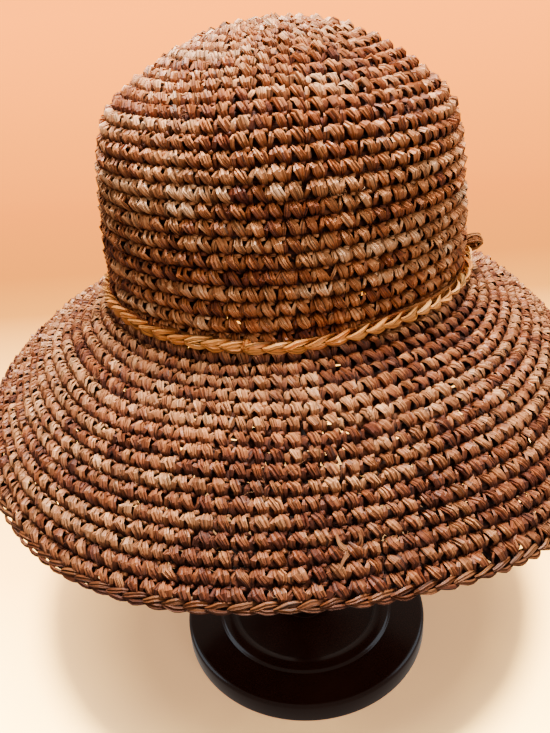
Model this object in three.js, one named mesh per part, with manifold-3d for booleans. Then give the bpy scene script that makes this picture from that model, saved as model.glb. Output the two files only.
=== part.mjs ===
// Crocheted raffia sun hat on a plain display stand.
// Millimetres, +Z up, the front of the hat towards -Y, the stand's foot on z = 0.
import * as THREE from 'three';
import * as BufferGeometryUtils from 'three/addons/utils/BufferGeometryUtils.js';
import Module from 'manifold-3d';

const wasm = await Module();
wasm.setup();

// Sizes of the hat
const band_height = 270; // floor to the corner between crown and brim
const crown_radius = 95; // outside, at the widest round of the crown's side
const crown_height = 126; // corner to the top of the crown
const crown_rows = 27;
const brim_reach = 80; // level distance from the corner to the rim
const brim_drop = 65; // height lost from the corner to the rim
const brim_rows = 16;
const foot_tilt = 3.8; // how far the corner between crown and brim rises on its high side
const foot_high = 51; // degrees from +X towards +Y, where the corner is highest
const foot_fade = 0.7; // share of crown_height above which the crown's rows are level
const wall = 4.2; // crocheted raffia, crest of a row to the inside
const row_groove = 1.2; // depth of the groove between two rows
const edge_width = 4.2; // braided last round, along the brim
const edge_thickness = 4.2;
const cord_height = 4.6; // chain cord round the crown
const cord_thickness = 3.2;
const cord_rise = 5; // middle of the cord above the corner, on average
const knot_angle = -2; // degrees from +X towards +Y
const knot_length = 13;
const knot_turn_height = 6.8; // each of the knot's two turns
const knot_rise = 7; // middle of the knot above the corner
const knot_thickness = 11;
const knot_lean = 24; // degrees that each of the knot's two turns leans
const cord_end_length = 15;
const cord_end_diameter = 3;
const cord_end_fall = 42; // degrees that the two ends point down
const cord_end_turn = 68; // degrees that the two ends turn from straight out to the back
const cord_end_spread = 17; // degrees that each end turns away from the other

// Sizes of the stand
const base_radius = 85;
const base_thickness = 15;
const base_round = 4; // rounding of the base's top edge
const foot_bevel = 1.5;
const ring_radius = 55.5; // middle of the raised ring
const ring_width = 12;
const ring_height = 3;
const collar_radius = 15;
const collar_height = 6;
const post_radius = 7;
const cap_steps = 3; // of the crown's inner steps, from the pole, that the cap's dome covers
const cap_rim = 9; // thickness of the cap at its edge

const gap = 0.3; // clearance between pieces that touch
const around = 40; // facets round the hat
const stand_around = 32;
const round_steps = 3; // facets of a rounded edge
const crown_inner_steps = 12;
const brim_inner_steps = 6;

// Outside of the crown, pole first: shares of crown_radius and crown_height
const crown_sections = [
  { radius: 0.0, height: 1.0 },
  { radius: 0.22, height: 0.987 },
  { radius: 0.43, height: 0.944 },
  { radius: 0.62, height: 0.87 },
  { radius: 0.79, height: 0.782 },
  { radius: 0.88, height: 0.712 },
  { radius: 0.935, height: 0.63 },
  { radius: 0.965, height: 0.54 },
  { radius: 0.99, height: 0.38 },
  { radius: 1.0, height: 0.2 },
  { radius: 0.995, height: 0.0 },
];

// Upper side of the brim, corner first: shares of brim_reach and brim_drop
const brim_sections = [
  { reach: 0.0, drop: 0.0 },
  { reach: 0.11, drop: 0.085 },
  { reach: 0.32, drop: 0.217 },
  { reach: 0.53, drop: 0.378 },
  { reach: 0.72, drop: 0.605 },
  { reach: 0.88, drop: 0.813 },
  { reach: 1.0, drop: 1.0 },
];

// Waves of the rim: how many round the brim, height as a share of brim_drop, angle of a crest
const brim_waves = [
  { count: 1, height: 0.184, crest: 101 },
  { count: 2, height: 0.079, crest: 42 },
  { count: 3, height: 0.152, crest: 41 },
];

// Height of the cord's middle every 30 degrees from +X towards +Y, as a share of cord_rise
const cord_sway = [1.4, 1.08, 1.0, 0.96, 1.0, 1.12, 1.3, 1.15, 0.86, 0.56, 1.12, 0.96];

const straw = { color: 0x8a5a38, roughness: 0.72, metalness: 0 };
const dark_straw = { color: 0x8c5032, roughness: 0.7, metalness: 0 };
const tan_straw = { color: 0xc88c55, roughness: 0.68, metalness: 0 };
const black_plastic = { color: 0x140c0a, roughness: 0.15, metalness: 0 };

const radians = THREE.MathUtils.degToRad;
const corner_radius = crown_radius * crown_sections.at(-1).radius;

const crown_curve = new THREE.SplineCurve(
  crown_sections.map(
    (s) => new THREE.Vector2(s.radius * crown_radius, band_height + s.height * crown_height),
  ),
);
const brim_curve = new THREE.SplineCurve(
  brim_sections.map(
    (s) => new THREE.Vector2(corner_radius + s.reach * brim_reach, band_height - s.drop * brim_drop),
  ),
);

// A point of a curve's wall: its share along the curve and its depth under the outer side.
function wallPoint(curve, share, depth) {
  const point = curve.getPointAt(share);
  const along = curve.getTangentAt(share);
  const on_axis = point.x < gap;
  return on_axis
    ? new THREE.Vector2(0, point.y - depth)
    : new THREE.Vector2(point.x + along.y * depth, point.y - along.x * depth);
}

// Smooth inner side of a crocheted wall, from the curve's start to its end.
function innerSide(curve, steps) {
  const points = [];
  for (let step = 0; step <= steps; step += 1) {
    points.push(wallPoint(curve, step / steps, wall));
  }
  return points;
}

// Outer side from the curve's end back to its start: a crest for each row and a groove between rows.
function rowedSide(curve, rows) {
  const points = [wallPoint(curve, 1, row_groove)];
  for (let row = rows - 1; row >= 0; row -= 1) {
    points.push(wallPoint(curve, (row + 0.5) / rows, 0));
    points.push(wallPoint(curve, row / rows, row_groove));
  }
  return points;
}

// A solid of revolution about +Z. Its profile of (radius, height) points climbs on the outer side.
function revolve(profile, facets) {
  return new THREE.LatheGeometry(profile, facets).rotateX(Math.PI / 2);
}

// Height that the waves add on the rim, at an angle from +X.
function rimWave(angle) {
  return brim_waves.reduce(
    (sum, wave) => sum + wave.height * brim_drop * Math.cos(wave.count * (angle - radians(wave.crest))),
    0,
  );
}

// Height that the tilt of the hat's foot adds, at an angle from +X and a height over the floor.
function footTilt(angle, height) {
  const above = (height - band_height) / (foot_fade * crown_height);
  const share = 1 - Math.min(1, Math.max(0, above));
  return foot_tilt * Math.cos(angle - radians(foot_high)) * share * share;
}

// Moves a hat piece's vertices up and down by the tilt, and by the waves from the corner to the rim.
function settle(geometry) {
  const places = geometry.attributes.position;
  for (let i = 0; i < places.count; i += 1) {
    const angle = Math.atan2(places.getY(i), places.getX(i));
    const height = places.getZ(i);
    const share = Math.max(0, (Math.hypot(places.getX(i), places.getY(i)) - crown_radius) / brim_reach);
    places.setZ(i, height + footTilt(angle, height) + rimWave(angle) * share * share);
  }
  return geometry;
}

// A closed oval of 8 points around a middle, its width turned by lean.
function ovalProfile(middle, width, thickness, lean) {
  const points = [];
  for (let side = 0; side <= 8; side += 1) {
    const turn = ((side % 8) * Math.PI) / 4;
    const corner = new THREE.Vector2((width / 2) * Math.cos(turn), (thickness / 2) * Math.sin(turn));
    points.push(corner.rotateAround(new THREE.Vector2(), lean).add(middle));
  }
  return points;
}

// A closed geometry as a manifold-3d solid, and back.
function toSolid(geometry) {
  const bare = new THREE.BufferGeometry();
  bare.setAttribute('position', geometry.attributes.position);
  bare.setIndex(geometry.index);
  const merged = BufferGeometryUtils.mergeVertices(bare, 1e-3);
  return new wasm.Manifold(
    new wasm.Mesh({
      numProp: 3,
      vertProperties: new Float32Array(merged.attributes.position.array),
      triVerts: new Uint32Array(merged.index.array),
    }),
  );
}

function toGeometry(solid) {
  const mesh = solid.getMesh();
  const geometry = new THREE.BufferGeometry();
  geometry.setAttribute('position', new THREE.BufferAttribute(mesh.vertProperties, 3));
  geometry.setIndex(new THREE.BufferAttribute(mesh.triVerts, 1));
  return geometry;
}

function crown() {
  const profile = [...innerSide(crown_curve, crown_inner_steps), ...rowedSide(crown_curve, crown_rows)];
  return settle(revolve(profile, around));
}

// The brim's inner edge has a level top, which lies under the crown's last row.
function brim() {
  const joint = band_height - gap;
  const inner = innerSide(brim_curve, brim_inner_steps);
  const outer = rowedSide(brim_curve, brim_rows);
  inner[0].set(corner_radius - wall, joint);
  outer.at(-1).set(corner_radius - row_groove, joint);
  return settle(revolve([...inner, ...outer, inner[0].clone()], around));
}

function brimEdge() {
  const along = brim_curve.getTangentAt(1);
  const middle = wallPoint(brim_curve, 1, wall / 2).addScaledVector(along, edge_width / 2 + gap);
  return settle(revolve(ovalProfile(middle, edge_width, edge_thickness, along.angle()), around));
}

// Height of the cord's middle above the corner, at an angle from +X.
function cordRise(angle) {
  const place = (1 + angle / (2 * Math.PI)) * cord_sway.length;
  const before = cord_sway[Math.floor(place) % cord_sway.length];
  const after = cord_sway[(Math.floor(place) + 1) % cord_sway.length];
  const share = (1 - Math.cos(Math.PI * (place % 1))) / 2;
  return cord_rise * (before + share * (after - before));
}

// Moves a piece on the foot's corner by the tilt there, the same for all of its height.
function tiltWhole(geometry) {
  const places = geometry.attributes.position;
  for (let i = 0; i < places.count; i += 1) {
    const angle = Math.atan2(places.getY(i), places.getX(i));
    places.setZ(i, places.getZ(i) + footTilt(angle, band_height));
  }
  return geometry;
}

// The cord's ring round the foot of the crown, thicker by a margin all round.
function cordRing(margin) {
  const middle = new THREE.Vector2(crown_radius + gap + cord_thickness / 2, band_height);
  const profile = ovalProfile(middle, cord_thickness + 2 * margin, cord_height + 2 * margin, 0);
  const ring = revolve(profile, around);
  const places = ring.attributes.position;
  for (let i = 0; i < places.count; i += 1) {
    places.setZ(i, places.getZ(i) + cordRise(Math.atan2(places.getY(i), places.getX(i))));
  }
  return tiltWhole(ring);
}

// Two crossed turns and two short ends at the knot's place, grooved where the cord passes through.
function cordKnot() {
  const pieces = [-knot_lean, knot_lean].map((lean) =>
    new THREE.SphereGeometry(1, 12, 8)
      .scale(knot_thickness / 2, knot_length / 2, knot_turn_height / 2)
      .rotateX(radians(lean)),
  );
  for (const spread of [-cord_end_spread, cord_end_spread]) {
    pieces.push(
      new THREE.CapsuleGeometry(cord_end_diameter / 2, cord_end_length - cord_end_diameter, 2, 8)
        .translate(0, -cord_end_length / 2, 0)
        .rotateZ(radians(90 - cord_end_fall))
        .rotateX(Math.PI / 2)
        .rotateZ(radians(cord_end_turn + spread)),
    );
  }
  const out = crown_radius + gap + knot_thickness / 2;
  for (const piece of pieces) {
    tiltWhole(piece.translate(out, 0, band_height + knot_rise).rotateZ(radians(knot_angle)));
  }
  const knot = pieces.map(toSolid).reduce((all, piece) => all.add(piece));
  return toGeometry(knot.subtract(toSolid(cordRing(gap))));
}

// Points of a quarter round from the level direction up to the upright one.
function quarterRound(middle_x, middle_y, radius) {
  const points = [];
  for (let step = 0; step <= round_steps; step += 1) {
    const turn = (step / round_steps) * (Math.PI / 2);
    points.push(new THREE.Vector2(middle_x + radius * Math.cos(turn), middle_y + radius * Math.sin(turn)));
  }
  return points;
}

// A round foot with a raised ring on it and a collar for the post.
function standBase() {
  const profile = [
    new THREE.Vector2(0, 0),
    new THREE.Vector2(base_radius - foot_bevel, 0),
    new THREE.Vector2(base_radius, foot_bevel),
    ...quarterRound(base_radius - base_round, base_thickness - base_round, base_round),
  ];
  for (let step = 0; step <= 4; step += 1) {
    const turn = (step * Math.PI) / 4;
    profile.push(
      new THREE.Vector2(
        ring_radius + (ring_width / 2) * Math.cos(turn),
        base_thickness + ring_height * Math.sin(turn),
      ),
    );
  }
  profile.push(
    new THREE.Vector2(collar_radius, base_thickness),
    new THREE.Vector2(collar_radius, base_thickness + collar_height - foot_bevel),
    new THREE.Vector2(collar_radius - foot_bevel, base_thickness + collar_height),
    new THREE.Vector2(0, base_thickness + collar_height),
  );
  return revolve(profile, stand_around);
}

const cap_edge = wallPoint(crown_curve, cap_steps / crown_inner_steps, wall + gap);
const cap_low = cap_edge.y - cap_rim;

// The cap's dome has the facets of the crown's inside, which rests on it.
function standCap() {
  const profile = [
    new THREE.Vector2(0, cap_low),
    new THREE.Vector2(cap_edge.x - cap_rim / 2, cap_low),
    new THREE.Vector2(cap_edge.x, cap_low + cap_rim / 2),
  ];
  for (let step = cap_steps; step >= 0; step -= 1) {
    profile.push(wallPoint(crown_curve, step / crown_inner_steps, wall + gap));
  }
  return revolve(profile, around);
}

function standPost() {
  const foot = base_thickness + collar_height + gap;
  const length = cap_low - gap - foot;
  return new THREE.CylinderGeometry(post_radius, post_radius, length, 16)
    .rotateX(Math.PI / 2)
    .translate(0, 0, foot + length / 2);
}

const pieces = [
  { name: 'crown', geometry: crown(), look: straw },
  { name: 'brim', geometry: brim(), look: straw },
  { name: 'brim_edge', geometry: brimEdge(), look: dark_straw },
  { name: 'hat_cord', geometry: cordRing(0), look: tan_straw },
  { name: 'cord_knot', geometry: cordKnot(), look: dark_straw },
  { name: 'stand_base', geometry: standBase(), look: black_plastic },
  { name: 'stand_post', geometry: standPost(), look: black_plastic },
  { name: 'stand_cap', geometry: standCap(), look: black_plastic },
];

const hat_on_stand = new THREE.Group();
for (const { name, geometry, look } of pieces) {
  const mesh = new THREE.Mesh(geometry, new THREE.MeshStandardMaterial(look));
  mesh.name = name;
  hat_on_stand.add(mesh);
}

export default hat_on_stand;
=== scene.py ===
# Crocheted raffia sun hat on a plain black display stand, built over its plain solids.
# Metres, +Z up, the front of the hat towards -Y.
import math

import bmesh
import bpy
import numpy as np
from mathutils import Matrix, Vector


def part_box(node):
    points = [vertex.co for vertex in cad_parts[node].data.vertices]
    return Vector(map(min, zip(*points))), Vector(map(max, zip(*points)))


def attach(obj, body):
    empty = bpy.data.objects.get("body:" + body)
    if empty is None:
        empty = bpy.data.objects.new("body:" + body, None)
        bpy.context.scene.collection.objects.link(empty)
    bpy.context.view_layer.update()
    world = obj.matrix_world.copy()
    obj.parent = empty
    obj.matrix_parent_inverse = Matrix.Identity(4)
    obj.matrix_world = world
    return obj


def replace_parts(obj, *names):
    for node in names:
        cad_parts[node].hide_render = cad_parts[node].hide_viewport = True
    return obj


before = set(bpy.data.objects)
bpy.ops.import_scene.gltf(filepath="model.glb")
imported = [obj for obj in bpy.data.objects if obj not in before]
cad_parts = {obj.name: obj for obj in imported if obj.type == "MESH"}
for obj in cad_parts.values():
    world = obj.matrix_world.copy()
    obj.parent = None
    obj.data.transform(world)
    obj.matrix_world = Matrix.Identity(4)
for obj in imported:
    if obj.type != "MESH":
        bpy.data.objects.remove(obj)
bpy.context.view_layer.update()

# The stand. A round foot of glossy black plastic with a raised ring and a collar, and a straight
# post that plugs into the collar. The small dome on top of the post is out of sight in the crown.
base_radius = 0.085
base_thickness = 0.015
ring_outer, ring_inner, ring_height = 0.0615, 0.0495, 0.003
collar_radius, collar_height = 0.015, 0.006
stand_facets = 112


class Value:
    """A shader socket that takes part in Python arithmetic."""

    def __init__(self, tree, socket):
        self.tree = tree
        self.socket = socket

    def maths(self, operation, first, second):
        node = self.tree.nodes.new("ShaderNodeMath")
        node.operation = operation
        for socket, value in zip(node.inputs, (first, second)):
            feed(self.tree, socket, value)
        return Value(self.tree, node.outputs[0])

    def __add__(self, other):
        return self.maths("ADD", self, other)

    def __sub__(self, other):
        return self.maths("SUBTRACT", self, other)

    def __rsub__(self, other):
        return self.maths("SUBTRACT", other, self)

    def __mul__(self, other):
        return self.maths("MULTIPLY", self, other)

    __radd__ = __add__
    __rmul__ = __mul__


def feed(tree, socket, value):
    if isinstance(value, Value):
        tree.links.new(value.socket, socket)
    else:
        socket.default_value = value


class Finish:
    """A material whose shader sockets are set by name."""

    def __init__(self, name, **sockets):
        self.material = bpy.data.materials.new(name)
        self.material.use_nodes = True
        self.tree = self.material.node_tree
        self.shader = self.tree.nodes["Principled BSDF"]
        self.set(**sockets)

    def set(self, **sockets):
        for socket_name, value in sockets.items():
            feed(self.tree, self.shader.inputs[socket_name.replace("_", " ")], value)

    def node(self, kind, settings, inputs, output=0, stops=()):
        node = self.tree.nodes.new(kind)
        for setting, value in settings.items():
            setattr(node, setting, value)
        for _ in range(len(stops) - 2):
            node.color_ramp.elements.new(0.5)
        for element, (position, colour) in zip(node.color_ramp.elements if stops else (), stops):
            element.position = position
            element.color = (*colour, 1)
        for socket_name, value in inputs.items():
            feed(self.tree, node.inputs[socket_name], value)
        return Value(self.tree, node.outputs[output])


def black_plastic():
    """Glossy moulded plastic, almost black with a red cast, dulled here and there by dust."""
    finish = Finish("black_plastic", Specular_IOR_Level=0.24)
    place = finish.node("ShaderNodeTexCoord", {}, {}, output="Object")
    smears = finish.node("ShaderNodeTexNoise", {}, {"Vector": place, "Scale": 38.0, "Detail": 4.0})
    dust = finish.node("ShaderNodeTexNoise", {}, {"Vector": place, "Scale": 900.0, "Detail": 2.0})
    colour = finish.node(
        "ShaderNodeValToRGB",
        {},
        {"Fac": 0.6 * smears + 0.4 * dust},
        stops=[(0.35, (0.0140, 0.0026, 0.0008)), (0.72, (0.0230, 0.0056, 0.0024))],
    )
    bump = finish.node(
        "ShaderNodeBump", {}, {"Strength": 0.08, "Distance": 0.0003, "Height": smears}
    )
    finish.set(Base_Color=colour, Roughness=0.08 + 0.22 * smears, Normal=bump)
    return finish.material


def turned(name, corners, node):
    """A piece turned about the post's axis from corners of radius, height and rounding."""
    body = bmesh.new()
    line = [body.verts.new((radius, 0, height)) for radius, height, _ in corners]
    edges = [body.edges.new(pair) for pair in zip(line, line[1:])]
    bmesh.ops.spin(
        body,
        geom=line + edges,
        cent=(0, 0, 0),
        axis=(0, 0, 1),
        angle=2 * math.pi,
        steps=stand_facets,
        use_merge=True,
    )
    bmesh.ops.remove_doubles(body, verts=body.verts, dist=1e-6)
    for radius, height, rounding in corners:
        corner = [
            edge
            for edge in body.edges
            if all(
                abs(v.co.z - height) < 1e-6 and abs(v.co.xy.length - radius) < 1e-6
                for v in edge.verts
            )
        ]
        if rounding:
            bmesh.ops.bevel(
                body,
                geom=corner,
                offset=rounding,
                affect="EDGES",
                segments=4,
                profile=0.5,
                material=-1,
            )
    bmesh.ops.recalc_face_normals(body, faces=body.faces)
    mesh = bpy.data.meshes.new(name)
    body.to_mesh(mesh)
    body.free()
    mesh.shade_smooth()
    mesh.materials.append(plastic)
    piece = bpy.data.objects.new(name, mesh)
    bpy.context.scene.collection.objects.link(piece)
    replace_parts(piece, node)
    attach(piece, "root")


plastic = black_plastic()
turned(
    "foot_disc",
    [
        (0.0, 0.0, 0.0),
        (base_radius, 0.0, 0.0015),
        (base_radius, base_thickness, 0.0032),
        (ring_outer, base_thickness, 0.0004),
        (ring_outer - 0.0014, base_thickness + 0.65 * ring_height, 0.0010),
        (0.5 * ring_outer + 0.5 * ring_inner, base_thickness + ring_height, 0.0022),
        (ring_inner + 0.0014, base_thickness + 0.65 * ring_height, 0.0010),
        (ring_inner, base_thickness, 0.0004),
        (collar_radius, base_thickness, 0.0006),
        (collar_radius, base_thickness + collar_height, 0.0014),
        (0.0, base_thickness + collar_height, 0.0),
    ],
    "stand_base",
)
post_low, post_high = (Vector(corner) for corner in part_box("stand_post"))
turned(
    "round_post",
    [
        (0.0, post_low.z, 0.0),
        (post_high.x, post_low.z, 0.0006),
        (post_high.x, post_high.z, 0.0006),
        (0.0, post_high.z, 0.0),
    ],
    "stand_post",
)
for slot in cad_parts["stand_cap"].material_slots:
    slot.material = plastic

# The crochet's surface. The hat is worked in rounds from the middle of the crown to the rim, and
# every stitch lies on this one surface: 27 rounds of crown, 16 of brim, with the brim's waves. The
# hat hangs a little askew, so the corner between crown and brim is higher on one side.
band_height = 0.27
crown_radius = 0.095
crown_height = 0.126
corner_radius = 0.995 * crown_radius
brim_reach = 0.080
brim_drop = 0.065
foot_tilt = 0.0038
foot_high = math.radians(51)
foot_fade = 0.7
crown_rounds = 27
brim_rounds = 16
all_rounds = crown_rounds + brim_rounds
stitch_width = 0.0076
round_height = 0.00685
cloth_middle = -0.0019  # the strands' middle layer, under the crests of the solid wall
crown_sections = [  # radius and height as shares, pole first
    (0.0, 1.0), (0.22, 0.987), (0.43, 0.944), (0.62, 0.87), (0.79, 0.782), (0.88, 0.712),
    (0.935, 0.63), (0.965, 0.54), (0.99, 0.38), (1.0, 0.2), (0.995, 0.0),
]
brim_sections = [  # reach and drop as shares, corner first
    (0.0, 0.0), (0.11, 0.085), (0.32, 0.217), (0.53, 0.378), (0.72, 0.605), (0.88, 0.813),
    (1.0, 1.0),
]
brim_waves = [  # count of crests, height as a share of the drop, one crest's angle
    (1, 0.184, 101), (2, 0.079, 42), (3, 0.152, 41),
]


def curve_weights(knots, count):
    """Weights that turn a row of knots into count points of a smooth curve through them."""
    place = np.linspace(0, knots - 1, count)
    start = np.minimum(place.astype(int), knots - 2)
    part = (place - start)[:, None]
    known = np.eye(knots)
    before, low = known[np.maximum(start - 1, 0)], known[start]
    high, after = known[start + 1], known[np.minimum(start + 2, knots - 1)]
    bend = 2 * before - 5 * low + 4 * high - after
    swing = 3 * low - before - 3 * high + after
    return 0.5 * (2 * low + (high - before) * part + bend * part**2 + swing * part**3)


def even_curve(knots, count):
    """count points at even steps along the smooth curve through the knots."""
    fine = curve_weights(len(knots), 60 * len(knots)) @ np.asarray(knots, float)
    run = np.concatenate([[0], np.cumsum(np.linalg.norm(np.diff(fine, axis=0), axis=1))])
    even = np.linspace(0, run[-1], count)
    return np.stack([np.interp(even, run, column) for column in fine.T], axis=1)


crown_line = even_curve(
    [(r * crown_radius, band_height + h * crown_height) for r, h in crown_sections],
    20 * crown_rounds + 1,
)
brim_line = even_curve(
    [(corner_radius + r * brim_reach, band_height - d * brim_drop) for r, d in brim_sections],
    20 * brim_rounds + 1,
)
hat_line = np.concatenate([crown_line, brim_line[1:]])
line_rounds = np.arange(len(hat_line)) / 20
line_slope = np.gradient(hat_line, axis=0)
line_slope /= np.linalg.norm(line_slope, axis=1)[:, None]
corner_spread = np.exp(-(((line_rounds - crown_rounds) / 0.5) ** 2))[:, None]
line_out = np.stack([-line_slope[:, 1], line_slope[:, 0]], axis=1)
line_out = line_out * (1 - corner_spread) + corner_spread * np.array([0.82, 0.57])
line_out /= np.linalg.norm(line_out, axis=1)[:, None]
unevenness = np.random.default_rng(4)
swells = [  # slow waves of hand work: turns round the hat, pace along the rounds, phases
    (unevenness.integers(1, 9), unevenness.uniform(0.05, 0.55), unevenness.uniform(0, 6.3, 3))
    for _ in range(14)
]


def settled(radius, angle, height):
    """Places on the hat as it hangs, with the tilt of its foot and the waves of its brim."""
    above = np.clip((height - band_height) / (foot_fade * crown_height), 0, 1)
    tilt = foot_tilt * np.cos(angle - foot_high) * (1 - above) ** 2
    share = np.clip((radius - crown_radius) / brim_reach, 0, None)
    wave = sum(
        size * brim_drop * np.cos(count * (angle - math.radians(crest)))
        for count, size, crest in brim_waves
    )
    height = height + tilt + wave * share**2
    return np.stack([radius * np.cos(angle), radius * np.sin(angle), height], axis=-1)


def hat_place(rounds, angle, out):
    """Places on the hat: rounds from the pole, angle from +X, out from the cloth's middle layer."""
    swell = sum(
        np.cos(turns * angle + phase[0]) * np.cos(pace * rounds + phase[1])
        for turns, pace, phase in swells
    )
    drift = sum(
        np.cos(turns * angle + phase[2]) * np.sin(pace * rounds + phase[0])
        for turns, pace, phase in swells
    )
    fade = np.clip(rounds / 4, 0, 1) * np.clip((all_rounds - rounds) / 2, 0, 1)
    shifted = np.clip(rounds + 0.045 * drift * fade, 0, all_rounds + 2)
    inside = np.minimum(shifted, all_rounds)
    past = (shifted - inside) * round_height
    radius, height, out_x, out_z, slope_x, slope_z = (
        np.interp(inside, line_rounds, column)
        for column in (*hat_line.T, *line_out.T, *line_slope.T)
    )
    lift = out + cloth_middle + 0.00022 * swell * fade
    radius = radius + lift * out_x + past * slope_x
    height = height + lift * out_z + past * slope_z
    return settled(radius, angle, height)


# The straw. Raffia is the dry skin of a palm leaf, torn into flat strands that fold and pleat
# lengthwise when they are hooked. Each strand here is a closed tube of few faces with a pleated
# section, and its colour comes in runs, as one strand of straw makes many stitches.
pleated = [  # across and out, as shares of half the width and half the thickness
    (-1.0, 0.0), (-0.55, 0.9), (-0.05, 0.3), (0.5, 1.0), (1.0, -0.05), (0.0, -0.6),
]
folded = [(-1.0, 0.0), (-0.35, 0.95), (0.25, 0.55), (1.0, 0.1), (0.0, -0.7)]
plain = [(-1.0, 0.0), (0.0, 0.8), (1.0, 0.0), (0.0, -0.8)]


class StrandShape:
    """A closed tube with one ring of vertices for each step along a strand."""

    def __init__(self, section, rings, smooth):
        tube = bmesh.new()
        sides = len(section)
        bmesh.ops.create_circle(tube, cap_ends=True, segments=sides, radius=1)
        end = tube.faces[:]
        for step in range(rings - 1):
            grown = bmesh.ops.extrude_face_region(tube, geom=end)["geom"]
            if step:
                bmesh.ops.delete(tube, geom=end, context="FACES_ONLY")
            end = [part for part in grown if isinstance(part, bmesh.types.BMFace)]
            bmesh.ops.translate(tube, verts=end[0].verts, vec=(0, 0, 1))
        bmesh.ops.recalc_face_normals(tube, faces=tube.faces)
        tube.verts.index_update()
        turns = [
            round((math.atan2(v.co.y, v.co.x) / (2 * math.pi) - 0.25) * sides) % sides
            for v in tube.verts
        ]
        self.ring = np.array([round(v.co.z) for v in tube.verts])
        self.column = np.array([-turn % sides for turn in turns])
        self.section = np.array(section)
        self.faces = [[v.index for v in face.verts] for face in tube.faces]
        self.rings = rings
        self.smooth = smooth
        around, along = [], []
        for face in self.faces:
            wraps = len(face) == 4 and {turns[i] for i in face} == {0, sides - 1}
            for i in face:
                around.append((sides if wraps and turns[i] == 0 else turns[i]) / sides)
                along.append(self.ring[i] / (rings - 1))
        self.straw_map = np.stack([around, along], axis=1)
        tube.free()


def sweep(shape, path, width, thickness, lean, ruck, up):
    """Vertices of many strands of one shape, from arrays by strand.

    The path, width and thickness go by ring, the ruck of the pleats by side, and up faces out.
    """
    along = np.gradient(path, axis=1)
    along /= np.linalg.norm(along, axis=2)[..., None]
    up = up - along * np.sum(up * along, axis=2)[..., None]
    up /= np.maximum(np.linalg.norm(up, axis=2), 1e-6)[..., None]
    side = np.cross(along, up)
    turn = lean[:, None, None]
    up, side = up * np.cos(turn) - side * np.sin(turn), side * np.cos(turn) + up * np.sin(turn)
    across, rise = shape.section[shape.column].T
    reach = (across * width[:, shape.ring] / 2)[..., None]
    height = ((rise + ruck[:, shape.column]) * thickness[:, shape.ring] / 2)[..., None]
    return path[:, shape.ring] + side[:, shape.ring] * reach + up[:, shape.ring] * height


class StrawMesh:
    """Gathers strands, and joins them into one mesh with a straw map, a bake map and colours."""

    def __init__(self):
        self.parts = []

    def add(self, shape, places, tone, shade):
        self.parts.append((shape, places, tone, shade))

    def build(self, name, material):
        strands = sum(len(places) for _, places, _, _ in self.parts)
        columns = math.ceil(math.sqrt(strands))
        points, corners, sizes, smooth, straw, bake, tones, shades = ([] for _ in range(8))
        first_point = 0
        first_strand = 0
        for shape, places, tone, shade in self.parts:
            count, verts = places.shape[:2]
            face_corners = np.concatenate([np.array(face) for face in shape.faces])
            steps = first_point + verts * np.arange(count)[:, None]
            corners.append((face_corners + steps).ravel())
            sizes.append(np.tile([len(face) for face in shape.faces], count))
            smooth.append(np.full(count * len(shape.faces), shape.smooth))
            points.append(places.reshape(-1, 3))
            cell = first_strand + np.arange(count)
            straw_map = np.tile(shape.straw_map, (count, 1, 1))
            bake_map = 0.06 + 0.88 * straw_map
            bake_map[..., 0] += (cell % columns)[:, None]
            bake_map[..., 1] += (cell // columns)[:, None]
            apart = np.stack([cell * 3.0, cell * 7.0], axis=1)[:, None] % 97
            straw.append((straw_map + apart).reshape(-1, 2))
            bake.append((bake_map / columns).reshape(-1, 2))
            tones.append(np.repeat(tone, verts))
            shades.append(shade.ravel())
            first_point += count * verts
            first_strand += count
        mesh = bpy.data.meshes.new(name)
        sizes = np.concatenate(sizes)
        corners = np.concatenate(corners)
        mesh.vertices.add(first_point)
        mesh.vertices.foreach_set("co", np.concatenate(points).ravel())
        mesh.loops.add(len(corners))
        mesh.loops.foreach_set("vertex_index", corners)
        mesh.polygons.add(len(sizes))
        mesh.polygons.foreach_set("loop_start", np.cumsum(sizes) - sizes)
        mesh.polygons.foreach_set("use_smooth", np.concatenate(smooth))
        mesh.update(calc_edges=True)
        for layer_name, values in (("straw", straw), ("OFBake", bake)):
            layer = mesh.uv_layers.new(name=layer_name)
            layer.data.foreach_set("uv", np.concatenate(values).ravel())
        for attribute_name, values in (("tone", tones), ("shade", shades)):
            attribute = mesh.attributes.new(attribute_name, "FLOAT", "POINT")
            attribute.data.foreach_set("value", np.concatenate(values))
        mesh.uv_layers["straw"].active_render = True
        mesh.materials.append(material)
        piece = bpy.data.objects.new(name, mesh)
        bpy.context.scene.collection.objects.link(piece)
        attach(piece, "root")
        return piece


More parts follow.
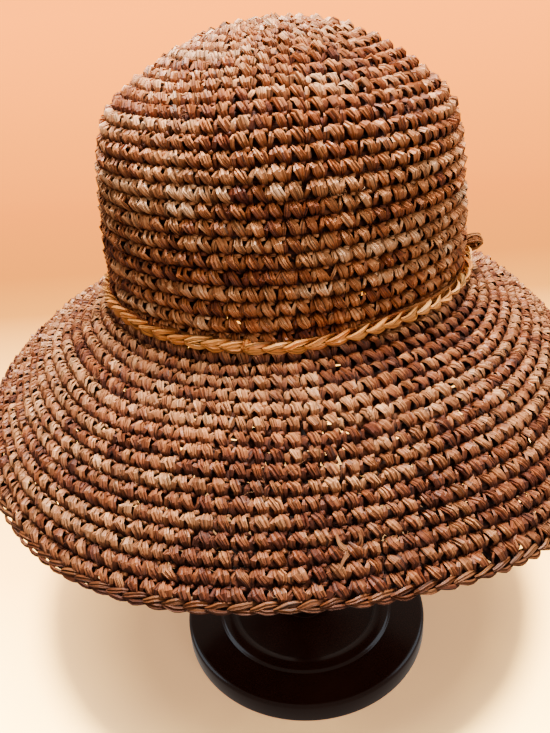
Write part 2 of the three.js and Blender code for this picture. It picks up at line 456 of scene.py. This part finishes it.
def raffia(name, stops, roughness):
    """Dry palm straw: a colour by run of straw, fibres and splits, with painted shade."""
    finish = Finish(name, Specular_IOR_Level=0.26)
    tone = finish.node("ShaderNodeAttribute", {"attribute_name": "tone"}, {}, output="Fac")
    shade = finish.node("ShaderNodeAttribute", {"attribute_name": "shade"}, {}, output="Fac")
    place = finish.node("ShaderNodeUVMap", {"uv_map": "straw"}, {})
    across = finish.node("ShaderNodeSeparateXYZ", {}, {"Vector": place})
    along = Value(finish.tree, across.socket.node.outputs["Y"])

    def grain(right, up, detail):
        spot = finish.node("ShaderNodeCombineXYZ", {}, {"X": right, "Y": up})
        noise = {"Vector": spot, "Scale": 1.0, "Detail": detail}
        return finish.node("ShaderNodeTexNoise", {}, noise)

    streaks = grain(across * 15.0, along * 0.9, 4.0)
    patches = grain(across * 2.0, along * 1.8, 2.0)
    splits = grain(across * 10.0 + 40.0, along * 0.45, 1.0)
    # The dark lines along the strand are its splits, and partly painted shade in its folds.
    line = finish.node(
        "ShaderNodeMapRange",
        {},
        {"Value": splits, "From Min": 0.38, "From Max": 0.46, "To Min": 0.25, "To Max": 1.0},
    )
    # Painted shade: the 'shade' attribute lowers the tone towards the ramp's red-brown end and
    # darkens the light.
    straw_tone = tone + 0.5 * (patches - 0.5) + 0.42 * (streaks - 0.5) + 0.55 * (shade - 1.0)
    colour = finish.node("ShaderNodeValToRGB", {}, {"Fac": straw_tone}, stops=stops)
    light = shade * line * (0.55 + 0.9 * streaks)
    shaded = finish.node(
        "ShaderNodeVectorMath", {"operation": "SCALE"}, {"Vector": colour, "Scale": light}
    )
    relief = streaks + 0.8 * line
    bump = finish.node(
        "ShaderNodeBump", {}, {"Strength": 0.55, "Distance": 0.0004, "Height": relief}
    )
    finish.set(Base_Color=shaded, Roughness=roughness + 0.45 * (1.0 - shade), Normal=bump)
    return finish.material


crown_straw = raffia(
    "crown_raffia",
    [
        (0.0, (0.090, 0.012, 0.003)),
        (0.25, (0.200, 0.042, 0.009)),
        (0.5, (0.355, 0.110, 0.030)),
        (0.75, (0.490, 0.202, 0.072)),
        (1.0, (0.640, 0.350, 0.178)),
    ],
    0.5,
)
brim_straw = raffia(
    "brim_raffia",
    [
        (0.0, (0.106, 0.022, 0.007)),
        (0.22, (0.214, 0.059, 0.018)),
        (0.45, (0.325, 0.123, 0.043)),
        (0.7, (0.415, 0.188, 0.076)),
        (1.0, (0.510, 0.285, 0.142)),
    ],
    0.5,
)


def straw_runs(chance, count, run_length):
    """A tone for each stitch: one for each run of straw, then a little for the stitch itself."""
    run = np.cumsum(chance.random(count) < 1 / run_length)
    run_tones = np.clip(chance.normal(0.5, 0.105, run[-1] + 1), 0.08, 0.95)
    return run_tones[run] + chance.normal(0, 0.07, count)


def depth_shade(shade, down, out):
    """Painted light on each vertex: shade where a strand dips in or runs low, a highlight near its
    top.
    """
    depth = np.clip((out / round_height + 0.34) / 0.5, 0, 1)
    tuck = np.interp(down / round_height, (-0.15, 0.1, 0.5, 1.0), (0.8, 1.24, 1.0, 0.5))
    return shade[:, None] * (0.46 + 0.65 * depth) * tuck


def strands(chance, shape, knots, unit, roll):
    """Places along and around strands whose knots hold across, down, out, width and thickness."""
    count = len(knots)
    run = np.einsum("rk,nkc->nrc", curve_weights(knots.shape[1], shape.rings), knots)
    path = run[:, :, :3] * np.array(unit)
    width = np.maximum(run[:, :, 3], 0.04) * unit[1]
    thickness = np.maximum(run[:, :, 4], 0.03) * unit[1]
    leans = chance.normal(roll, 0.2, count)
    ruck = chance.normal(0, 0.2, (count, len(shape.section)))
    return sweep(shape, path, width, thickness, leans, ruck, np.array([0.0, 0.0, 1.0]))


# The crocheted cloth. Crown and brim are one spiral of tight stitches in raffia. A stitch shows as
# a wide leg of two ribbons that lean right, a narrow leg on its left and the end of the top loop
# beside the shoulder, and a bar of straw runs across its inside.
stitches_per_straw = 16
left_ribbon = [  # along the strand: across in stitch widths; down, out, width, thickness in rounds
    (-0.20, -0.08, -0.34, 0.20, 0.12),
    (-0.16, 0.05, 0.12, 0.36, 0.20),
    (-0.05, 0.28, 0.33, 0.43, 0.22),
    (0.12, 0.60, 0.24, 0.39, 0.20),
    (0.27, 0.88, -0.06, 0.27, 0.14),
    (0.35, 1.08, -0.40, 0.14, 0.10),
]
right_ribbon = [
    (0.03, -0.08, -0.34, 0.20, 0.12),
    (0.10, 0.06, 0.10, 0.36, 0.20),
    (0.22, 0.30, 0.28, 0.40, 0.20),
    (0.35, 0.62, 0.18, 0.36, 0.18),
    (0.43, 0.90, -0.10, 0.24, 0.13),
    (0.46, 1.09, -0.42, 0.13, 0.10),
]
left_leg = [
    (-0.24, 0.00, -0.34, 0.20, 0.14),
    (-0.34, 0.17, 0.05, 0.33, 0.20),
    (-0.39, 0.42, 0.17, 0.39, 0.22),
    (-0.41, 0.70, 0.06, 0.32, 0.18),
    (-0.40, 1.00, -0.34, 0.16, 0.12),
]
top_loop = [
    (0.14, 0.10, -0.22, 0.16, 0.12),
    (0.26, -0.03, 0.05, 0.25, 0.18),
    (0.39, -0.02, 0.09, 0.27, 0.18),
    (0.50, 0.12, -0.20, 0.16, 0.12),
]
inner_bar = [
    (-0.62, 0.84, -0.28, 1.25, 0.14),
    (0.0, 0.80, -0.38, 1.35, 0.16),
    (0.62, 0.84, -0.28, 1.25, 0.14),
]
stitch_strands = [  # table, shape, lean about its own length, share of the light
    (left_ribbon, StrandShape(pleated, 6, False), 0.12, 1.0),
    (right_ribbon, StrandShape(pleated, 6, False), -0.1, 1.0),
    (left_leg, StrandShape(folded, 5, False), -0.2, 0.92),
    (top_loop, StrandShape(folded, 4, True), 0.0, 1.0),
    (inner_bar, StrandShape(plain, 4, True), 0.0, 1.0),
]


def crochet(name, first, last, seed, node, straw):
    """One mesh with every stitch of the rounds from first up to last.

    The brim grows by three rounds at a time, so that its stitches stand in columns. The straw is
    painted lighter at the top of the crown as a painted highlight from above, darker round the
    crown's foot, on the brim's first rounds and on its last rounds, and painted shade darkens the
    front of the brim's outer rounds.
    Low on the front of the brim, stitches stand apart and light comes through between them.
    """
    chance = np.random.default_rng(seed)
    rounds, angles, pitches = [], [], []
    step = 0.0
    for number in range(first, last):
        as_wide_as = number
        if number > crown_rounds:
            as_wide_as = number - (number - crown_rounds - 1) % 3 + 1
        middle_radius = np.interp(as_wide_as + 0.5, line_rounds, hat_line[:, 0])
        count = max(6, round(2 * math.pi * middle_radius / stitch_width))
        step += chance.normal(-0.06, 0.05)
        stitch = np.arange(count) + step + chance.normal(0, 0.05, count)
        rounds.append(np.full(count, number + 0.12 * np.interp(number, (38, 42), (0, 1))))
        angles.append(stitch * 2 * math.pi / count - math.pi / 2)
        pitches.append(np.full(count, 2 * math.pi / count))
    rounds, angles, pitches = (np.concatenate(values) for values in (rounds, angles, pitches))
    count = len(rounds)
    tone = straw_runs(chance, count, stitches_per_straw)
    shade = np.clip(chance.normal(1, 0.1, count), 0.7, 1.3)
    lean = chance.normal(0, 0.09, count)
    puff = np.clip(chance.normal(1, 0.2, count), 0.5, 1.6)
    bulk = np.clip(chance.normal(1, 0.1, count), 0.75, 1.3)
    front = (angles + math.pi / 2 + math.pi) % (2 * math.pi) - math.pi
    open_share = np.clip((rounds - 29) / 4, 0, 0.85) * (0.1 + 0.9 * np.exp(-((front / 0.36) ** 2)))
    # Painted highlight: the crown's top rounds are lighter, as if lit from above.
    tone += 0.16 * np.clip((10 - rounds) / 8, 0, 1)
    tone -= np.interp(rounds, (25, 27, 31, 36), (0.0, 0.22, 0.19, 0.13))
    tone -= 0.08 * np.clip((rounds - 39) / 3, 0, 1)
    # Painted shade: the front of the brim's outer rounds is darker in tone and in light, where the
    # light falls off.
    painted_front_shade = np.clip((rounds - 32) / 7, 0, 1) * np.exp(-(((front - 0.1) / 0.8) ** 2))
    tone -= 0.16 * painted_front_shade
    shade *= 1 - 0.16 * painted_front_shade
    hole_after = chance.random(count) < open_share
    hole_before = np.roll(hole_after, 1)
    cloth = StrawMesh()
    for table, shape, roll, light in stitch_strands:
        knots = np.tile(np.array(table), (count, 1, 1))
        knots[:, :, :3] += chance.normal(0, 0.03, (count, len(table), 3))
        knots[:, :, 0] += lean[:, None] * (knots[:, :, 1] - 0.5)
        knots[:, :, 2] *= puff[:, None]
        knots[:, :, 3] *= (bulk * np.clip(chance.normal(1, 0.14, count), 0.55, 1.4))[:, None]
        lower = knots[:, :, 1] > 0.8
        if table is inner_bar:
            # The last round's bars stay above the rim, and a bar is notched where there is a hole.
            knots[:, :, 1] -= np.where(rounds > all_rounds - 1, 0.4, 0.0)[:, None]
            for end, hole in ((0, hole_before), (2, hole_after)):
                knots[:, end, 1] -= np.where(hole, 0.74, 0.0)
                knots[:, end, 3] *= np.where(hole, 0.2, 1.0)
        elif table is left_leg:
            knots[:, :, 0] += np.where(hole_before, 0.17, 0.0)[:, None] * lower
            knots[:, :2, 1] += np.where(hole_before, 0.16, 0.0)[:, None]
        else:
            knots[:, :, 0] -= np.where(hole_after, 0.13, 0.0)[:, None] * lower
        flat = strands(chance, shape, knots, (stitch_width, round_height, round_height), roll)
        angle = angles[:, None] + flat[:, :, 0] / stitch_width * pitches[:, None]
        places = hat_place(rounds[:, None] + flat[:, :, 1] / round_height, angle, flat[:, :, 2])
        strand_tone = np.clip(tone + chance.normal(0, 0.06, count), 0, 1)
        strand_light = shade * light * np.clip(chance.normal(1, 0.08, count), 0.75, 1.25)
        strand_shade = depth_shade(strand_light, flat[:, :, 1], flat[:, :, 2])
        cloth.add(shape, places, strand_tone, strand_shade)
    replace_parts(cloth.build(name, straw), node)


crochet("crown_dome", 0, 14, 11, "crown", crown_straw)
crochet("crown_side", 14, 21, 12, "crown", crown_straw)
crochet("crown_foot", 21, 27, 13, "crown", crown_straw)
crochet("brim_inner", 27, 33, 14, "brim", brim_straw)
crochet("brim_middle", 33, 38, 15, "brim", brim_straw)
crochet("brim_outer", 38, 43, 16, "brim", brim_straw)

# The brim's edge. The last round is a chain of slip stitches along the rim, in redder straw. Each
# link is two long leaves that rise out of the link before it and part, with a third behind them.
edge_links = 119
edge_unit = (0.0094, round_height, round_height)
links_per_straw = 6
upper_leaf = [  # along the strand: across in links; down, out, width, thickness in rounds
    (-0.08, 0.42, 0.12, 0.15, 0.16),
    (0.20, 0.32, 0.26, 0.28, 0.24),
    (0.54, 0.21, 0.22, 0.32, 0.24),
    (0.90, 0.17, 0.06, 0.28, 0.20),
    (1.25, 0.21, -0.20, 0.16, 0.12),
]
lower_leaf = [
    (-0.08, 0.43, 0.08, 0.13, 0.16),
    (0.20, 0.50, 0.20, 0.25, 0.24),
    (0.54, 0.58, 0.20, 0.30, 0.24),
    (0.90, 0.61, 0.06, 0.27, 0.20),
    (1.25, 0.57, -0.20, 0.14, 0.12),
]
back_leaf = [
    (-0.4, 0.36, -0.20, 0.48, 0.18),
    (0.5, 0.38, -0.22, 0.52, 0.20),
    (1.4, 0.36, -0.20, 0.48, 0.18),
]
leaf_shape = StrandShape(pleated, 7, False)
chain_strands = [
    (upper_leaf, leaf_shape, 0.1, 1.0),
    (lower_leaf, leaf_shape, 0.1, 1.0),
    (back_leaf, StrandShape(folded, 4, True), 0.0, 0.6),
]
red_straw = raffia(
    "edge_raffia",
    [
        (0.0, (0.044, 0.007, 0.002)),
        (0.5, (0.092, 0.023, 0.005)),
        (1.0, (0.155, 0.059, 0.019)),
    ],
    0.6,
)


def chain(name, links, start, unit, fullness, place, material, seed):
    """A chain of links, each of them a few leaves of straw, along a round of the hat."""
    chance = np.random.default_rng(seed)
    first = start + (np.arange(links) + chance.normal(0, 0.04, links)) * 2 * math.pi / links
    tone = straw_runs(chance, links, links_per_straw)
    braid = StrawMesh()
    for table, shape, roll, light in chain_strands:
        knots = np.tile(np.array(table), (links, 1, 1))
        knots[:, :, :3] += chance.normal(0, 0.022, (links, len(table), 3))
        knots[:, :, 3] *= fullness * np.clip(chance.normal(1, 0.1, links), 0.75, 1.25)[:, None]
        flat = strands(chance, shape, knots, unit, roll)
        angle = first[:, None] + flat[:, :, 0] / unit[0] * 2 * math.pi / links
        leaf_tone = np.clip(tone + chance.normal(0, 0.08, links), 0, 1)
        leaf_light = light * np.clip(chance.normal(1, 0.1, links), 0.75, 1.25)
        leaf_shade = depth_shade(leaf_light, flat[:, :, 1], flat[:, :, 2])
        braid.add(shape, place(flat[:, :, 1], angle, flat[:, :, 2]), leaf_tone, leaf_shade)
    return braid.build(name, material)


def rim_place(down, angle, out):
    """Places on the edge chain, which overlaps the brim's last round."""
    return hat_place(all_rounds - 0.19 + down / round_height, angle, out)


edge_braid = chain(
    "edge_braid", edge_links, 0.0, edge_unit, 1.1, rim_place, red_straw, 21
)
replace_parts(edge_braid, "brim_edge")

# The cord. A crocheted chain of light orange straw lies round the foot of the crown. It is one
# ring here, held at the front by a few turns of thread and closed by the knot at the side.
cord_links = 66
cord_low, cord_high = (Vector(corner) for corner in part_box("hat_cord"))
cord_radius = cord_high.x - 0.0016
cord_rise = 0.0050
cord_sway = [  # share of the rise at each 30 degrees from +X
    1.4, 1.08, 1.0, 0.96, 1.0, 1.12, 1.3, 1.15, 0.86, 0.56, 1.12, 0.96,
]
cord_unit = 0.0070
cord_links_unit = (0.0093, cord_unit, cord_unit)
knot_angle = math.radians(-2)
tan_straw = raffia(
    "cord_raffia",
    [
        (0.0, (0.460, 0.090, 0.008)),
        (0.3, (0.600, 0.185, 0.026)),
        (0.65, (0.670, 0.270, 0.056)),
        (1.0, (0.700, 0.350, 0.105)),
    ],
    0.5,
)


def cord_place(down, angle, out):
    """Places on the cord, which rises and falls a little as it goes round the crown."""
    place = (angle / (2 * math.pi) % 1) * len(cord_sway)
    before = np.array(cord_sway)[place.astype(int) % len(cord_sway)]
    after = np.array(cord_sway)[(place.astype(int) + 1) % len(cord_sway)]
    share = (1 - np.cos(math.pi * (place % 1))) / 2
    height = band_height + cord_rise * (before + share * (after - before)) + 0.37 * cord_unit
    return settled(cord_radius + 0.0002 + 1.2 * out, angle, height - down)


cord_braid = chain(
    "cord_braid", cord_links, 0.02, cord_links_unit, 1.35, cord_place, tan_straw, 22
)
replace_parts(cord_braid, "hat_cord")

# The tack. A few turns of brown thread bind the cord to the crown's foot at the front, a little
# left of the middle. They are wound tightly over the cord and sink into it.
tack_angle = math.radians(-101)
tack_turns = 5
winding = StrandShape(pleated, 13, False)
thread_chance = np.random.default_rng(31)
tack = StrawMesh()


def wound(chance, shape, middle, tall, deep, step, count, width, thickness):
    """Straws wound side by side round a middle, on an oval with the half axes tall and deep."""
    tall, deep = np.array(tall), np.array(deep)
    turn = np.linspace(0, 2.06 * math.pi, shape.rings)[:, None]
    turn = turn + chance.uniform(0, 6.3, count)[:, None, None]
    around = np.cos(turn) * tall + np.sin(turn) * deep
    up = np.cos(turn) * tall / np.dot(tall, tall) + np.sin(turn) * deep / np.dot(deep, deep)
    place = (np.arange(count) - (count - 1) / 2)[:, None, None] * np.array(step)
    path = np.array(middle) + place + around * (1 + chance.normal(0, 0.04, count)[:, None, None])
    widths = np.full((count, shape.rings), width) * chance.uniform(0.85, 1.15, count)[:, None]
    ruck = chance.normal(0, 0.2, (count, len(shape.section)))
    return sweep(shape, path, widths, np.full_like(widths, thickness), np.zeros(count), ruck, up)


flat = wound(
    thread_chance,
    winding,
    middle=(0, 0.37 * cord_unit, -0.0002),
    tall=(0, 0.0028, 0),
    deep=(0, 0, 0.0023),
    step=(0.00062, 0.0001, 0),
    count=tack_turns,
    width=0.0007,
    thickness=0.0005,
)
tack.add(
    winding,
    cord_place(flat[:, :, 1], tack_angle + flat[:, :, 0] / cord_radius, flat[:, :, 2]),
    thread_chance.uniform(0.1, 0.6, tack_turns),
    depth_shade(np.full(tack_turns, 0.9), np.zeros(flat.shape[:2]), flat[:, :, 2] + 0.001),
)
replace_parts(tack.build("thread_tack", tan_straw), "hat_cord")

# The knot. The cord's two ends are tied at the side: two crossed turns of flat straw, each with
# a fold that stands out beyond it, and two short frayed ends that lie back along the crown.
knot_rise = 0.0093
turn_straws, fold_straws, end_straws = 4, 3, 5
millimetres = (0.001, 0.001, 0.001)
# The knot is the cord's straw in darker tones: painted shade, as the knot sits in shade at the side
# of the crown.
shaded_knot_straw = raffia(
    "shaded_knot_raffia",
    [
        (0.0, (0.070, 0.013, 0.001)),
        (0.5, (0.140, 0.038, 0.003)),
        (1.0, (0.360, 0.160, 0.040)),
    ],
    0.8,
)
knot_end = [  # millimetres back, down and out, then width and thickness of one straw of an end
    (0.0, 0.0, 3.0, 1.6, 0.8),
    (4.5, 1.2, 4.6, 2.0, 0.8),
    (9.5, 4.2, 5.0, 1.8, 0.7),
    (13.5, 8.0, 5.2, 0.6, 0.4),
]


def knot_place(flat):
    """Places on the knot from places along the crown, down and out from its wall."""
    along, down, out = (flat[:, :, axis] for axis in range(3))
    height = band_height + knot_rise - down
    return settled(crown_radius + out, knot_angle + along / crown_radius, height)


def knot_shade(flat):
    return depth_shade(np.ones(len(flat)), np.zeros(flat.shape[:2]), flat[:, :, 2] - 0.0035)


fold_shape = StrandShape(pleated, 9, False)
knot_chance = np.random.default_rng(33)
knot = StrawMesh()
for lean in (-1, 1):
    flat = wound(
        knot_chance,
        winding,
        middle=(0.0010 * lean, 0, 0.0068),
        tall=(0.0026 * lean, 0.0032, -0.0006),
        deep=(0, -0.0006, 0.0048),
        step=(0.0013, -0.0006 * lean, 0),
        count=turn_straws,
        width=0.0024,
        thickness=0.0010,
    )
    turn_tones = knot_chance.uniform(0.1, 0.7, turn_straws)
    knot.add(winding, knot_place(flat), turn_tones, knot_shade(flat))
    fold = np.tile(
        [
            (0.0, -1.0, 3.0, 2.0, 1.0),
            (2.4 * lean, -2.4, 5.6, 2.8, 1.0),
            (3.4 * lean, -0.6, 9.0, 3.0, 1.0),
            (2.4 * lean, 1.6, 6.4, 2.6, 1.0),
            (0.0, 1.0, 3.4, 2.0, 1.0),
        ],
        (fold_straws, 1, 1),
    )
    fold[:, :, :3] += knot_chance.normal(0, 0.6, (fold_straws, 5, 3))
    flat = strands(knot_chance, fold_shape, fold, millimetres, 0.0)
    fold_tones = knot_chance.uniform(0.1, 0.9, fold_straws)
    knot.add(fold_shape, knot_place(flat), fold_tones, knot_shade(flat))
    end = np.tile(knot_end, (end_straws, 1, 1))
    end[:, :, 1] += 1.6 * (lean + 1) * np.linspace(0, 1, 4)
    fray = knot_chance.normal(0, 0.9, (end_straws, 1, 3))
    end[:, :, :3] += fray * np.linspace(0.3, 1.6, 4)[:, None]
    flat = strands(knot_chance, leaf_shape, end, millimetres, 0.0)
    end_tones = knot_chance.uniform(0.3, 1.0, end_straws)
    knot.add(leaf_shape, knot_place(flat), end_tones, np.ones((end_straws, len(leaf_shape.ring))))
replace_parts(knot.build("side_knot", shaded_knot_straw), "cord_knot")

# Loose fibres. Short thin hairs of straw have sprung from the strands all over the hat, a few
# joins of straw are tangled, and a few torn straws stand off the brim as a flap.
hair_count = 360
tangle_hairs = 16
tangles = [(17.6, -75), (23.4, -171), (21.0, -62), (12.4, -118), (31.5, -140), (35.0, 30)]
flap_round, flap_angles, flap_lengths = 40.3, (-83.6, -83.1, -82.4), (8.0, 9.5, 6.0)
hair_shape = StrandShape(plain, 5, True)
hair_chance = np.random.default_rng(41)
hairs = StrawMesh()


def fibres(count, rounds, angle, length, width, curl, shape):
    """Loose straws that rise off the cloth from their places; length and width in millimetres."""
    along = np.linspace(0, 1, 4)
    heading = hair_chance.uniform(0, 2 * math.pi, (count, 1))
    heading = heading + hair_chance.normal(0, curl, (count, 1)) * along
    long = np.reshape(length, (-1, 1)) * along
    knots = np.zeros((count, 4, 5))
    knots[:, :, 0] = long * np.cos(heading)
    knots[:, :, 1] = long * np.sin(heading)
    knots[:, :, 2] = 0.7 + hair_chance.uniform(0.15, 0.8, (count, 1)) * long * (1.4 - 0.7 * along)
    knots[:, :, 3] = np.reshape(width, (-1, 1)) * (1.1 - 0.8 * along)
    knots[:, :, 4] = 0.12
    flat = strands(hair_chance, shape, knots, millimetres, 0.0)
    radius = np.maximum(np.interp(rounds, line_rounds, hat_line[:, 0]), 0.01)
    place = hat_place(
        rounds[:, None] + flat[:, :, 1] / round_height,
        angle[:, None] + flat[:, :, 0] / radius[:, None],
        flat[:, :, 2],
    )
    tone = hair_chance.uniform(0.1, 0.95, count)
    hairs.add(shape, place, tone, np.ones((count, len(shape.ring))))


fibres(
    hair_count,
    rounds=all_rounds * np.sqrt(hair_chance.uniform(0.01, 1.0, hair_count)),
    angle=hair_chance.uniform(-math.pi, math.pi, hair_count),
    length=hair_chance.uniform(1.5, 6.0, hair_count),
    width=hair_chance.uniform(0.12, 0.34, hair_count),
    curl=1.1,
    shape=hair_shape,
)
for tangle_round, tangle_angle in tangles:
    fibres(
        tangle_hairs,
        rounds=tangle_round + hair_chance.normal(0, 0.3, tangle_hairs),
        angle=math.radians(tangle_angle) + hair_chance.normal(0, 0.022, tangle_hairs),
        length=hair_chance.uniform(1.5, 4.0, tangle_hairs),
        width=hair_chance.uniform(0.2, 0.6, tangle_hairs),
        curl=2.6,
        shape=hair_shape,
    )
fibres(
    len(flap_angles),
    rounds=np.full(len(flap_angles), flap_round),
    angle=np.radians(flap_angles),
    length=flap_lengths,
    width=2.6,
    curl=0.3,
    shape=leaf_shape,
)
hairs.build("loose_fibres", brim_straw)

# The backdrop. The floor and the wall behind are one sheet of pale paper that curves up. The paper
# glows, a painted light that is dim on the floor and warmest on the wall, and its colour darkens
# towards the wall as painted shade. It stands in for the photo's surroundings and isn't part of the
# hat.
sheet = bmesh.new()
edge = [sheet.verts.new((x, -2.0, 0.0)) for x in (-4.0, 4.0)]
edge_line = [sheet.edges.new(edge)]
curve_steps = [(0, 0.16, 0.16 * k / 5) for k in range(1, 9)]
for step in ((0, 3.4, 0), *curve_steps, (0, 0.0, 2.6)):
    grown = bmesh.ops.extrude_edge_only(sheet, edges=edge_line)["geom"]
    edge_line = [part for part in grown if isinstance(part, bmesh.types.BMEdge)]
    bmesh.ops.translate(sheet, verts=list(edge_line[0].verts), vec=step)
bmesh.ops.recalc_face_normals(sheet, faces=sheet.faces)
floor_mesh = bpy.data.meshes.new("backdrop")
sheet.to_mesh(floor_mesh)
sheet.free()
floor_mesh.shade_smooth()
backdrop = bpy.data.objects.new("backdrop", floor_mesh)
bpy.context.scene.collection.objects.link(backdrop)
paper = Finish("warm_paper", Roughness=0.9, Specular_IOR_Level=0.1, Emission_Strength=5.0)
paper_place = paper.node("ShaderNodeTexCoord", {}, {}, output="Object")
paper_split = paper.node("ShaderNodeSeparateXYZ", {}, {"Vector": paper_place})
paper_depth = Value(paper.tree, paper_split.socket.node.outputs["Y"])
# Painted shade: the paper's colour darkens towards the wall, as the light falls off.
paper_painted_falloff = paper.node(
    "ShaderNodeValToRGB",
    {},
    {"Fac": paper_depth + 0.2},
    stops=[
        (0.08, (0.95, 0.62, 0.24)),
        (0.26, (0.55, 0.30, 0.085)),
        (0.82, (0.06, 0.02, 0.001)),
        (1.0, (0.02, 0.005, 0.0)),
    ],
)
# Painted light: the paper glows, dimly on the floor and warmer up the wall.
paper_painted_glow = paper.node(
    "ShaderNodeValToRGB",
    {},
    {"Fac": paper_depth * 0.45},
    stops=[
        (0.0, (0.125, 0.066, 0.032)),
        (0.279, (0.36, 0.125, 0.008)),
        (0.36, (0.42, 0.115, 0.002)),
        (0.56, (0.54, 0.130, 0.0)),
        (0.77, (0.68, 0.168, 0.0)),
        (0.96, (0.90, 0.215, 0.0)),
    ],
)
paper.set(Base_Color=paper_painted_falloff, Emission_Color=paper_painted_glow)
floor_mesh.materials.append(paper.material)
backdrop.visible_diffuse = False
backdrop.visible_glossy = False

# The lights. Two soft lamps light the hat: one above, and a weaker one from the front right that
# spares the stand's foot. Two more light the paper alone, and two dim bluish ones the foot alone.
hat_middle = (0, 0, 0.3)


def softbox(name, place, aim, size, power, colour):
    lamp = bpy.data.lights.new(name, "AREA")
    lamp.shape = "DISK"
    lamp.size = size
    lamp.energy = power
    lamp.color = colour
    holder = bpy.data.objects.new(name, lamp)
    holder.location = place
    holder.rotation_euler = (Vector(aim) - Vector(place)).to_track_quat("-Z", "Y").to_euler()
    bpy.context.scene.collection.objects.link(holder)
    return holder


softbox("lamp_above", (0.04, 0.06, 1.35), hat_middle, 0.45, 62, (1.0, 0.94, 0.88))
lamp_front = softbox("lamp_front", (0.95, -1.35, 0.62), hat_middle, 0.8, 13.5, (1.0, 0.94, 0.88))
unlit_stand = bpy.data.collections.new("unlit_stand")
unlit_stand.objects.link(bpy.data.objects["foot_disc"])
unlit_stand.collection_objects[0].light_linking.link_state = "EXCLUDE"
lamp_front.light_linking.receiver_collection = unlit_stand
lit_paper = bpy.data.collections.new("lit_paper")
lit_paper.objects.link(backdrop)
for lamp in (
    softbox("lamp_paper", (0.17, -0.66, 2.6), (0, 0, 0), 0.34, 960, (1.0, 0.90, 0.52)),
    softbox("lamp_paper_fill", (0.0, -0.3, 2.2), (0, 0, 0), 1.4, 220, (1.0, 0.93, 0.85)),
):
    lamp.light_linking.receiver_collection = lit_paper
lit_stand = bpy.data.collections.new("lit_stand")
lit_stand.objects.link(bpy.data.objects["foot_disc"])
for side in (-1, 1):
    window_place = (side * 1.2, 0.1, 0.55)
    window = softbox(f"lamp_window_{side}", window_place, (0, 0, 0), 1.0, 7, (0.70, 0.85, 1.0))
    window.light_linking.receiver_collection = lit_stand

room = bpy.data.worlds.new("room")
room.use_nodes = True
room_light = room.node_tree.nodes["Background"]
room_light.inputs["Color"].default_value = (1.0, 0.86, 0.74, 1)
room_light.inputs["Strength"].default_value = 0.47
bpy.context.scene.world = room

# The camera. It looks down on the hat from close by, turned and rolled a little, as the photo was
# taken. Its focal length is in pixels of the photo's height.
photo_height = 733
focal_pixels = 688
down, aside, roll = (math.radians(angle) for angle in (27.61, -1.55, -4.0))
forward = Vector((math.sin(aside), math.cos(aside), 0))
ahead = forward * math.cos(down) - Vector((0, 0, math.sin(down)))
level = Vector((math.cos(aside), -math.sin(aside), 0))
upright = level.cross(ahead)
right = level * math.cos(roll) + upright * math.sin(roll)
above = upright * math.cos(roll) - level * math.sin(roll)
camera_data = bpy.data.cameras.new("photo_camera")
camera_data.sensor_fit = "VERTICAL"
camera_data.sensor_height = 24
camera_data.lens = camera_data.sensor_height * focal_pixels / photo_height
camera_data.clip_start = 0.01
camera = bpy.data.objects.new("photo_camera", camera_data)
camera_place = (0, -0.3655, band_height + 0.131)
camera_turn = Matrix((right, above, -ahead)).transposed().to_4x4()
camera.matrix_world = Matrix.Translation(camera_place) @ camera_turn
bpy.context.scene.collection.objects.link(camera)
bpy.context.scene.camera = camera
